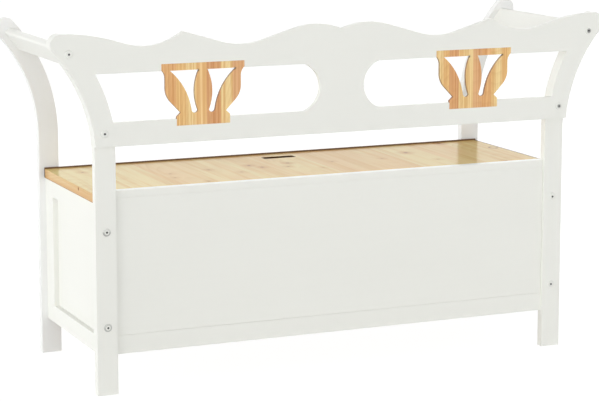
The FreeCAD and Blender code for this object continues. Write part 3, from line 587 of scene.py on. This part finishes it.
def dress_bolts(node, enamel):
    """Bolts with a rounded rim on the head. Bare steel is marked on each face whose corners all
    lie within the shank's reach of the bolt's axis, which runs along Y."""
    source = frame["nodes"][node].data
    points = np.empty(len(source.vertices) * 3)
    source.vertices.foreach_get("co", points)
    points = points.reshape(-1, 3)
    axes = np.array([(x, z) for x in middles(points[:, 0]) for z in middles(points[:, 2])])

    def on_rim(point):
        return HEAD_RIM[0] < np.hypot(*(axes - (point.x, point.z)).T).min() < HEAD_RIM[1]

    piece = eased(node, BOLT_EDGE, on_rim)
    mesh = piece.data
    places = np.empty(len(mesh.vertices) * 3)
    mesh.vertices.foreach_get("co", places)
    places = places.reshape(-1, 3)[:, [0, 2]]
    away = np.hypot(*(places[:, None] - axes[None]).transpose(2, 0, 1)).min(axis=1)
    corner = np.empty(len(mesh.loops), dtype=np.int32)
    start, count = (np.empty(len(mesh.polygons), dtype=np.int32) for _ in range(2))
    mesh.loops.foreach_get("vertex_index", corner)
    mesh.polygons.foreach_get("loop_start", start)
    mesh.polygons.foreach_get("loop_total", count)
    bare = np.maximum.reduceat(away[corner], start) < SHANK_REACH
    attribute = mesh.attributes.new("bare", "FLOAT", "CORNER")
    attribute.data.foreach_set("value", np.repeat(bare, count).astype(np.float32))
    cover(piece, enamel)


def dress_rest():
    """Splats, hidden pine pieces and metal."""
    for hand in ("left", "right"):
        cover(eased("splat_" + hand, SPLAT_EDGE), splat_varnish(hand))
    enamel = bolt_enamel()
    steel = {
        "fastener_steel": plated_steel("fastener_steel", (0.60, 0.60, 0.60), (0.46, 0.47, 0.49)),
        "hinge_steel": plated_steel("hinge_steel", (0.66, 0.60, 0.46), (0.54, 0.50, 0.42)),
    }
    raw = {axis: bare_pine(axis) for axis in "xy"}
    for node, slot in SLOT_OF.items():
        if slot == "bolt_white":
            dress_bolts(node, enamel)
        elif slot in steel:
            cover(frame["nodes"][node], steel[slot])
        elif slot == "raw_pine":
            cover(frame["nodes"][node], raw["y" if node == "splat_pins" else "x"])


# Floor: half its length, its level just under the feet, its glow where it is seen directly, and
# how much of the glow shows there
FLOOR_REACH, FLOOR_LEVEL, FLOOR_GLOW, FLOOR_SHARE = 30.0, -0.0004, 1.12, 0.85
# Light of the surround: overhead, and added to that at the horizon
OVERHEAD, HORIZON = 0.30, 2.45
# Wide, far lights: name, the way to each, strength, and its width in degrees
WINDOWS = (
    ("camera_side", (0.30, 0.93, 0.14), 0.68, 40),
    ("left_side", (0.96, 0.16, 0.16), 1.68, 55),
)
# Bright sheet beyond the bench, which the lid's varnish mirrors: place, target, width, height,
# brightness
BACKDROP = ((-1.7, -3.9, 1.3), (-0.2, 0, 0.5), 4.0, 1.6, 2.3)


def seen_directly(finish):
    """1 for what the camera sees, also in a gloss or through glass, and 0 for light that falls on
    things."""
    kinds = ("Is Camera Ray", "Is Glossy Ray", "Is Transmission Ray")
    return finish.most(*(finish.node("LightPath", out=kind) for kind in kinds))


def stage():
    """Pale floor that keeps a light shadow, and a white surround that gives less light overhead
    than it shows. From the horizon it gives more, by the fourth power of one less the height."""
    corners = [(x * FLOOR_REACH, y * FLOOR_REACH, FLOOR_LEVEL)
               for x, y in ((-1, -1), (1, -1), (1, 1), (-1, 1))]
    mesh = bpy.data.meshes.new("floor")
    mesh.from_pydata(corners, [], [(0, 1, 2, 3)])
    floor = bpy.data.objects.new("floor", mesh)
    bpy.context.scene.collection.objects.link(floor)
    finish = new_finish("floor")
    matt = finish.node("BsdfDiffuse", None, {"Color": (0.86, 0.86, 0.85)})
    glow = finish.node("Emission", None, {"Color": (1.0, 1.0, 1.0), "Strength": FLOOR_GLOW})
    mix = finish.node("MixShader", None, {0: seen_directly(finish) * FLOOR_SHARE, 1: matt, 2: glow})
    floor.data.materials.append(finish.close("OutputMaterial", mix))

    world = bpy.data.worlds.new("surround")
    bpy.context.scene.world = world
    finish = Finish(world)
    direct = seen_directly(finish)
    height = finish.split(finish.spot())[2]
    cast = finish.most(1.0 - abs(height), 0.0) ** 4.0 * HORIZON + OVERHEAD
    strength = direct + (1.0 - direct) * cast
    light = finish.node("Background", None, {"Color": (1.0, 1.0, 1.0), "Strength": strength})
    finish.close("OutputWorld", light)


def light():
    """Two wide lights and a bright sheet. A sheet of radiance L and area A takes a power of
    pi L A."""
    for name, way, strength, width in WINDOWS:
        lamp = bpy.data.lights.new(name, "SUN")
        lamp.energy = strength
        lamp.angle = math.radians(width)
        holder = bpy.data.objects.new(name, lamp)
        bpy.context.scene.collection.objects.link(holder)
        holder.rotation_euler = Vector(way).to_track_quat("Z", "Y").to_euler()
    place, target, width, height, radiance = BACKDROP
    lamp = bpy.data.lights.new("backdrop", "AREA")
    lamp.shape = "RECTANGLE"
    lamp.size, lamp.size_y = width, height
    lamp.energy = math.pi * radiance * width * height
    sheet = bpy.data.objects.new("backdrop", lamp)
    bpy.context.scene.collection.objects.link(sheet)
    sheet.location = place
    sheet.rotation_euler = (Vector(target) - Vector(place)).to_track_quat("-Z", "Y").to_euler()
    sheet.visible_camera = False


# Camera: place, degrees to the side and down, and focal length in the photograph's pixels
CAMERA_PLACE, YAW, PITCH, FOCAL_PIXELS = (1.85395, 4.23352, 1.17327), 23.581, 8.644, 2117.87
PHOTO_WIDTH, SENSOR_WIDTH = 599, 36.0


def look():
    """Camera at the photograph's view: from behind, a little to the sitter's left, with a long
    lens."""
    yaw, pitch = math.radians(YAW), math.radians(PITCH)
    camera = bpy.data.cameras.new("camera")
    camera.sensor_width = SENSOR_WIDTH
    camera.lens = FOCAL_PIXELS / PHOTO_WIDTH * SENSOR_WIDTH
    camera.shift_y = -0.1
    camera.dof.use_dof = False
    holder = bpy.data.objects.new("camera", camera)
    bpy.context.scene.collection.objects.link(holder)
    level = math.cos(pitch)
    ahead = Vector((-math.sin(yaw) * level, -math.cos(yaw) * level, -math.sin(pitch)))
    holder.location = CAMERA_PLACE
    holder.rotation_euler = ahead.to_track_quat("-Z", "Y").to_euler()
    bpy.context.scene.camera = holder
    bpy.context.scene.view_settings.view_transform = "Standard"


dress_white_pieces()
dress_lid()
dress_rest()
stage()
light()
look()
